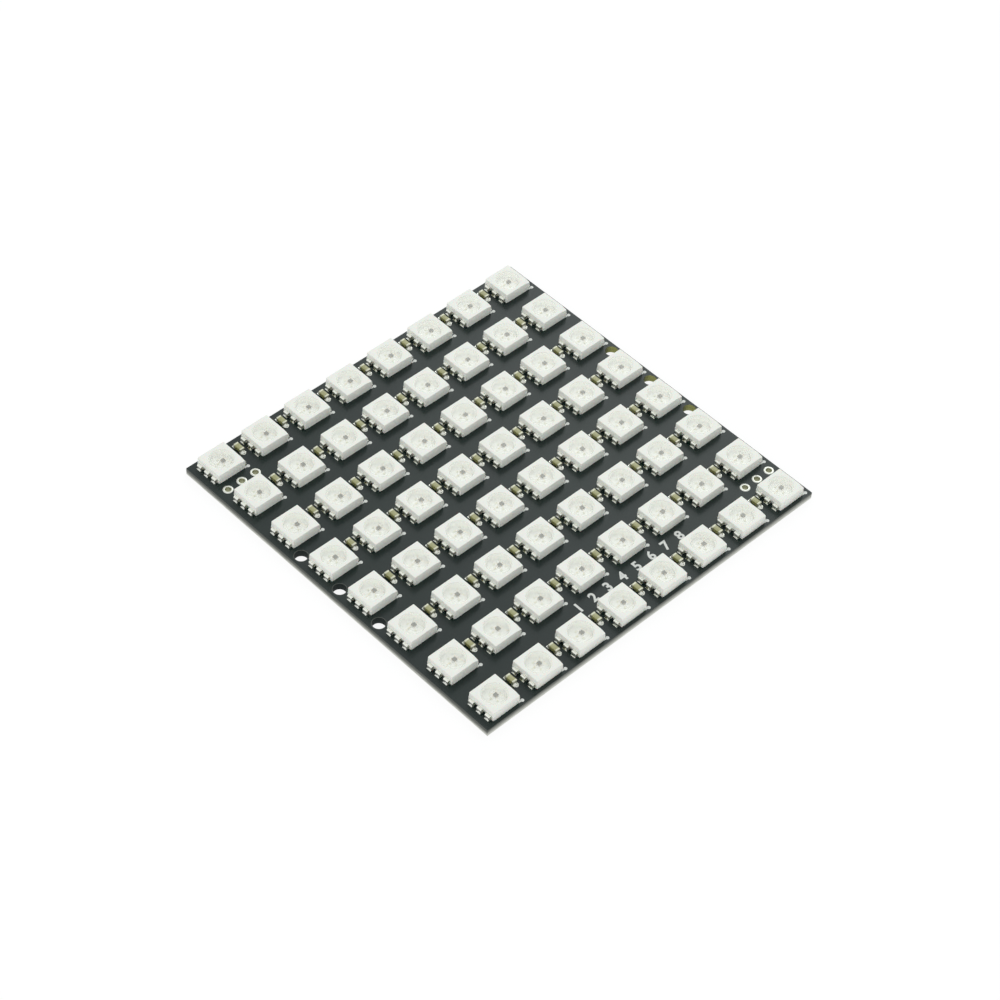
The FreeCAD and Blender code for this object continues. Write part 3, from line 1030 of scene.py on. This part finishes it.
def make_camera(scene):
    """Camera at the viewing angle of the reference, turned a little about its own axis."""
    camera = bpy.data.cameras.new("camera")
    camera.lens = CAMERA_LENS
    camera.sensor_width = CAMERA_SENSOR
    camera.clip_start = 0.01
    camera.clip_end = 10
    holder = bpy.data.objects.new("camera", camera)
    forward = (CAMERA_AIM - CAMERA_PLACE).normalized()
    level = forward.cross(Vector((0, 0, 1))).normalized()
    upright = level.cross(forward)
    right = math.cos(CAMERA_ROLL) * level + math.sin(CAMERA_ROLL) * upright
    top = right.cross(forward)
    turn = Matrix((right, top, -forward)).transposed()
    holder.matrix_world = Matrix.Translation(CAMERA_PLACE * MM) @ turn.to_4x4()
    scene.collection.objects.link(holder)
    scene.camera = holder


class LIGHT_PANEL_OT_board(bpy.types.Operator):
    """Finish the board, line its pin holes and add the rings and rims of its holes"""

    bl_idname = "light_panel.board"
    bl_label = "Board"

    def execute(self, context):
        finish = context.scene.finishes
        sizes = millimetres(context.scene.board_sizes)
        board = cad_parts["circuit_board"]
        board.data.materials.clear()
        board.data.materials.append(shared_finish(printed_circuit_board, finish))
        pins = pin_places(sizes)
        level = shared_finish(hot_tinned_metal, "levelled_solder", finish.solder, 0.38, 0.3, 0.01)
        add_piece("plated_pin_holes", repeat(barrel_unit(sizes), pins), level)
        dull = shared_finish(hot_tinned_metal, "oxidised_lining", finish.lining, 0.5, 0.1, 0.01)
        add_piece("pin_hole_linings", repeat(lining_unit(sizes), pins), dull)
        places = via_places(sizes)
        add_piece("via_rings", repeat(via_unit(sizes), places), level)
        rims = repeat(rim_unit(sizes), screw_places(sizes))
        add_piece("screw_hole_rims", rims, shared_finish(drilled_laminate, finish))
        return {"FINISHED"}


RING_STEPS = 28
RIM_STEPS = 40
PINS_PER_ROW = 3
SCREWS_PER_END = 3


def barrel_unit(sizes):
    """Metal that lines a pin hole, and its two rings, swollen a little by the solder on them."""
    bore = sizes.pin_hole_radius - sizes.barrel
    ring = sizes.pin_ring_radius
    mid = (bore + ring) / 2
    # The rings on the underside are what the panel stands on
    bottom = FLOOR_Z
    profile = [
        (bore, 0.02), (bore, BOARD_TOP - 0.02), (bore + 0.04, BOARD_TOP + 0.035),
        (mid, BOARD_TOP + 0.06), (ring - 0.04, BOARD_TOP + 0.03), (ring, BOARD_TOP - LET_IN),
        (sizes.pin_hole_radius, BOARD_TOP - LET_IN), (sizes.pin_hole_radius, 0.01),
        (ring, 0.01), (ring, bottom), (bore + 0.03, bottom),
    ]
    bm = bmesh.new()
    lathe(bm, profile, RING_STEPS, closed=True)
    return bm


def lining_unit(sizes):
    """Dull film on the wall of a pin hole, below its ring."""
    bore = sizes.pin_hole_radius - sizes.barrel
    bm = bmesh.new()
    lathe(bm, [(bore - 0.01, 0.03), (bore - 0.01, BOARD_TOP + 0.01), (bore + 0.01, BOARD_TOP + 0.01),
               (bore + 0.01, 0.03)], RING_STEPS, closed=True)
    return bm


def pin_places(sizes):
    """The pin holes: a row in the first gap between rows at -X, and one in the last gap at +X."""
    first_x = BOARD_LOW.x + sizes.pin_hole_web_minus_x + sizes.pin_hole_radius
    last_x = BOARD_HIGH.x - sizes.pin_hole_web_plus_x - sizes.pin_hole_radius
    return [
        Matrix.Translation((x + pin * step, (ROW_Y[gap] + ROW_Y[gap + 1]) / 2, 0))
        for x, step, gap in ((first_x, sizes.pin_spacing, 0), (last_x, -sizes.pin_spacing, ROWS - 2))
        for pin in range(PINS_PER_ROW)
    ]


def via_unit(sizes):
    """Tinned ring of a via. The solder of the capacitor beside it covers most of its hole."""
    ring = sizes.via_radius
    hole = sizes.via_hole
    bm = bmesh.new()
    lathe(bm, [
        (hole, BOARD_TOP - LET_IN), (hole, BOARD_TOP + 0.02), ((hole + ring) / 2, BOARD_TOP + 0.04),
        (ring - 0.04, BOARD_TOP + 0.03), (ring, BOARD_TOP - LET_IN)], RING_STEPS, closed=True)
    return bm


def via_places(sizes):
    """One via beside each capacitor."""
    return [
        Matrix.Translation((COLUMN_X[column] + sizes.via_x, y + sizes.via_y, 0))
        for y in ROW_Y for column in range(1, COLUMNS)
    ]


def screw_places(sizes):
    """The screw holes, in the three middle gaps between rows, at both ends of the board."""
    first_x = BOARD_LOW.x + sizes.screw_hole_web_minus_x + sizes.screw_hole_radius
    last_x = BOARD_HIGH.x - sizes.screw_hole_web_plus_x - sizes.screw_hole_radius
    first = (ROWS - 1 - SCREWS_PER_END) // 2
    return [
        Matrix.Translation((x, (ROW_Y[gap] + ROW_Y[gap + 1]) / 2 + sizes.screw_hole_offset_y, 0))
        for x in (first_x, last_x) for gap in range(first, first + SCREWS_PER_END)
    ]


def rim_unit(sizes):
    """Thin ring of laminate that the mask leaves bare round a screw hole."""
    inner = sizes.screw_hole_radius
    outer = inner + sizes.mask_gap
    bm = bmesh.new()
    lathe(bm, [(inner, BOARD_TOP - LET_IN), (inner + 0.01, BOARD_TOP + 0.01), (outer, BOARD_TOP + 0.01),
               (outer, BOARD_TOP - LET_IN)], RIM_STEPS, closed=True)
    return bm


class LIGHT_PANEL_OT_print(bpy.types.Operator):
    """Print the dots at the lights' marked corners and the plain numerals"""

    bl_idname = "light_panel.print"
    bl_label = "Print"

    def execute(self, context):
        finish = context.scene.finishes
        sizes = millimetres(context.scene.board_sizes)
        ink = shared_finish(screen_printed_ink, finish)
        places = [place for row in range(ROWS) for place in light_places(row)]
        add_piece("corner_marks", repeat(mark_unit(sizes), places), ink)
        add_piece("printed_numerals", numerals(finish.numerals, sizes), ink)
        return {"FINISHED"}


# Corners of the wedge between a housing and its dot, from the dot's middle
MARK_WEDGE = ((-0.7, -0.07), (0, -0.09), (0, 0.09), (-0.7, 0.34))


def mark_unit(sizes):
    """Dot beside the marked corner, with a short wedge to the housing."""
    bm = bmesh.new()
    bmesh.ops.create_circle(bm, cap_ends=True, segments=14, radius=sizes.mark_radius)
    raise_faces(bm, bm.faces[:], sizes.ink)
    wedge = bm.faces.new([bm.verts.new((x, y, 0)) for x, y in MARK_WEDGE])
    raise_faces(bm, [wedge], sizes.ink * 0.8)
    bmesh.ops.translate(bm, verts=bm.verts[:], vec=(sizes.mark_x, sizes.mark_y, 0))
    return bm


NUMERALS_FROM, NUMERALS_TO = -8.3, 11.9
# Font size over the height of a numeral
FONT_SHARE = 1.37


def numerals(text, sizes):
    """Plain numbers, evenly spaced between the last two rows."""
    step = (NUMERALS_TO - NUMERALS_FROM) / (len(text) - 1)
    y = (ROW_Y[-2] + ROW_Y[-1]) / 2 - sizes.numeral_height / 2
    units = []
    for number, character in enumerate(text):
        line = bpy.data.curves.new("numeral", "FONT")
        line.body = character
        line.align_x = "CENTER"
        line.size = sizes.numeral_height * FONT_SHARE
        line.extrude = sizes.ink / 2
        line.offset = sizes.numeral_swell
        line.resolution_u = 3
        holder = bpy.data.objects.new("numeral", line)
        bpy.context.scene.collection.objects.link(holder)
        graph = bpy.context.evaluated_depsgraph_get()
        mesh = bpy.data.meshes.new_from_object(holder.evaluated_get(graph))
        unit = bmesh.new()
        unit.from_mesh(mesh)
        bmesh.ops.remove_doubles(unit, verts=unit.verts[:], dist=MERGE_DISTANCE)
        place = (NUMERALS_FROM + number * step, y, BOARD_TOP + sizes.ink / 2)
        bmesh.ops.translate(unit, verts=unit.verts[:], vec=place)
        units.append(unit)
        bpy.data.objects.remove(holder)
        bpy.data.curves.remove(line)
        bpy.data.meshes.remove(mesh)
    return join(units)


class LIGHT_PANEL_OT_housings(bpy.types.Operator):
    """Make the moulded housings of the lights"""

    bl_idname = "light_panel.housings"
    bl_label = "Housings"

    def execute(self, context):
        white = shared_finish(moulded_white_nylon, context.scene.finishes)
        sizes = millimetres(context.scene.package_sizes)
        for row in range(ROWS):
            add_piece(f"moulded_housings_row_{row + 1}", repeat(housing_unit(sizes), light_places(row)),
                      white, [f"led_housings_row_{row + 1}"])
        return {"FINISHED"}


class LIGHT_PANEL_OT_cup_floors(bpy.types.Operator):
    """Make the silvered plates on the cups' floors"""

    bl_idname = "light_panel.cup_floors"
    bl_label = "Cup Floors"

    def execute(self, context):
        finish = context.scene.finishes
        silver = shared_finish(hot_tinned_metal, "plated_silver", finish.silver, 0.72, 0.1, 0.004)
        sizes = millimetres(context.scene.package_sizes)
        for row in range(ROWS):
            add_piece(f"cup_plates_row_{row + 1}", repeat(plates_unit(sizes), light_places(row)),
                      silver)
        return {"FINISHED"}


class LIGHT_PANEL_OT_chips(bpy.types.Operator):
    """Finish the driver chips and make the light-giving chips"""

    bl_idname = "light_panel.chips"
    bl_label = "Chips"

    def execute(self, context):
        finish = context.scene.finishes
        sizes = millimetres(context.scene.package_sizes)
        for row in range(ROWS):
            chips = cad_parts[f"driver_chips_row_{row + 1}"]
            chips.data.materials.clear()
            chips.data.materials.append(shared_finish(patterned_silicon, finish))
            add_piece(f"light_dies_row_{row + 1}", repeat(dies_unit(sizes), light_places(row)),
                      shared_finish(sawn_crystal, finish))
        return {"FINISHED"}


class LIGHT_PANEL_OT_bond_wires(bpy.types.Operator):
    """Make the fine wires between the chips and the plates"""

    bl_idname = "light_panel.bond_wires"
    bl_label = "Bond Wires"

    def execute(self, context):
        gold = shared_finish(drawn_gold, context.scene.finishes)
        sizes = millimetres(context.scene.package_sizes)
        for row in range(ROWS):
            add_piece(f"bond_wires_row_{row + 1}", repeat(wires_unit(sizes), light_places(row)),
                      gold)
        return {"FINISHED"}


class LIGHT_PANEL_OT_fillings(bpy.types.Operator):
    """Pour the faintly milky fillings into the cups"""

    bl_idname = "light_panel.fillings"
    bl_label = "Fillings"

    def execute(self, context):
        silicone = shared_finish(cast_diffusing_silicone, context.scene.finishes)
        sizes = millimetres(context.scene.package_sizes)
        for row in range(ROWS):
            filling = add_piece(f"fillings_row_{row + 1}", repeat(filling_unit(sizes), light_places(row)),
                                silicone)
            # Light reaches and leaves the cup as if it were open, so the silicone doesn't darken it
            filling.visible_shadow = False
            filling.visible_diffuse = False
            filling.visible_glossy = False
        return {"FINISHED"}


# Pads: how far they reach in under the lead or capacitor, and their bevel
PAD_UNDER_LEAD = 0.1
PAD_UNDER_CAPACITOR = 0.25
PAD_BEVEL = 0.012


class LIGHT_PANEL_OT_leads(bpy.types.Operator):
    """Make the bent leads of the lights, with their solder and pads"""

    bl_idname = "light_panel.leads"
    bl_label = "Leads"

    def execute(self, context):
        finish = context.scene.finishes
        package = millimetres(context.scene.package_sizes)
        board = millimetres(context.scene.board_sizes)
        outer = HOUSING_SIZE / 2 + package.lead_stand_off
        pad_half = board.solder_width / 2
        for row in range(ROWS):
            places = lead_places(row)
            add_piece(f"bent_leads_row_{row + 1}", repeat(lead_unit(package), places),
                      tin(finish), [f"led_leads_row_{row + 1}"])
            unit = fillet_unit(outer - 0.03, FOOT_TIP - 0.01, board.solder_width, board.solder_height)
            bmesh.ops.translate(unit, verts=unit.verts[:], vec=(0, 0, board.copper * 0.5))
            add_piece(f"lead_solder_row_{row + 1}", repeat(unit, places), solder(finish))
            pad = bmesh.new()
            block(pad, (HOUSING_SIZE / 2 - PAD_UNDER_LEAD, -pad_half, -LET_IN),
                  (FOOT_TIP - 0.02, pad_half, board.copper), bevel=PAD_BEVEL)
            add_piece(f"lead_pads_row_{row + 1}", repeat(pad, places), solder(finish))
        return {"FINISHED"}


# How far the ceramic lies inside its metal ends, beside them and at their faces
CERAMIC_INSET = 0.02
CERAMIC_SHORT = 0.05


class LIGHT_PANEL_OT_capacitors(bpy.types.Operator):
    """Make the ceramic capacitors, with their metal ends, solder and pads"""

    bl_idname = "light_panel.capacitors"
    bl_label = "Capacitors"

    def execute(self, context):
        finish = context.scene.finishes
        sizes = millimetres(context.scene.board_sizes)
        ceramic = shared_finish(fired_ceramic, finish)
        end_metal = shared_finish(
            hot_tinned_metal, "plated_capacitor_ends", finish.capacitor_end, 0.5, 0.1, 0.006)
        half_x = CAPACITOR_WIDTH / 2
        half_y = CAPACITOR_LENGTH / 2
        for row in range(ROWS):
            middles = [place @ Matrix.Translation((CAPACITOR_X, CAPACITOR_Y, 0))
                       for place in light_places(row, range(1, COLUMNS))]
            ends = [middle @ Matrix.Rotation(turn, 4, "Z") for middle in middles
                    for turn in (math.pi / 2, -math.pi / 2)]
            body = bmesh.new()
            block(body, (CERAMIC_INSET - half_x, CERAMIC_SHORT - half_y, CERAMIC_INSET),
                  (half_x - CERAMIC_INSET, half_y - CERAMIC_SHORT, CAPACITOR_HEIGHT - CERAMIC_INSET),
                  bevel=0.04, segments=2)
            add_piece(f"capacitor_bodies_row_{row + 1}", repeat(body, middles), ceramic,
                      [f"capacitors_row_{row + 1}"])
            cap = bmesh.new()
            block(cap, (half_y - sizes.capacitor_cap, -half_x, 0), (half_y, half_x, CAPACITOR_HEIGHT),
                  bevel=0.06, segments=2)
            add_piece(f"capacitor_ends_row_{row + 1}", repeat(cap, ends), end_metal)
            foot_end = half_y + sizes.capacitor_foot
            foot = fillet_unit(half_y - 0.06, foot_end, CAPACITOR_WIDTH, sizes.solder_height)
            pad_half = half_x + sizes.pad_margin
            pad_end = foot_end + sizes.pad_margin
            block(foot, (half_y - PAD_UNDER_CAPACITOR, -pad_half, -LET_IN),
                  (pad_end, pad_half, sizes.copper), bevel=PAD_BEVEL)
            add_piece(f"capacitor_solder_row_{row + 1}", repeat(foot, ends), solder(finish))
        return {"FINISHED"}


class LIGHT_PANEL_PT_pieces(bpy.types.Panel):
    """Lists the operators that make the panel's pieces"""

    bl_label = "Light Panel"
    bl_space_type = "VIEW_3D"
    bl_region_type = "UI"
    bl_category = "Light Panel"

    def draw(self, context):
        for operator in OPERATORS:
            self.layout.operator(operator.bl_idname)
        for group in (context.scene.package_sizes, context.scene.board_sizes, context.scene.finishes):
            column = self.layout.column()
            for name in group.__annotations__:
                column.prop(group, name)


GROUPS = {"package_sizes": PackageSizes, "board_sizes": BoardSizes, "finishes": Finishes}
OPERATORS = (
    LIGHT_PANEL_OT_stage,
    LIGHT_PANEL_OT_board,
    LIGHT_PANEL_OT_print,
    LIGHT_PANEL_OT_housings,
    LIGHT_PANEL_OT_cup_floors,
    LIGHT_PANEL_OT_chips,
    LIGHT_PANEL_OT_bond_wires,
    LIGHT_PANEL_OT_fillings,
    LIGHT_PANEL_OT_leads,
    LIGHT_PANEL_OT_capacitors,
)


def register():
    for group in GROUPS.values():
        bpy.utils.register_class(group)
    for name, group in GROUPS.items():
        setattr(bpy.types.Scene, name, PointerProperty(type=group))
    for item in (*OPERATORS, LIGHT_PANEL_PT_pieces):
        bpy.utils.register_class(item)


def unregister():
    for item in (LIGHT_PANEL_PT_pieces, *reversed(OPERATORS)):
        bpy.utils.unregister_class(item)
    for name in GROUPS:
        delattr(bpy.types.Scene, name)
    for group in GROUPS.values():
        bpy.utils.unregister_class(group)


def main():
    register()
    for operator in OPERATORS:
        group, name = operator.bl_idname.split(".")
        getattr(getattr(bpy.ops, group), name)()


if __name__ == "__main__":
    main()
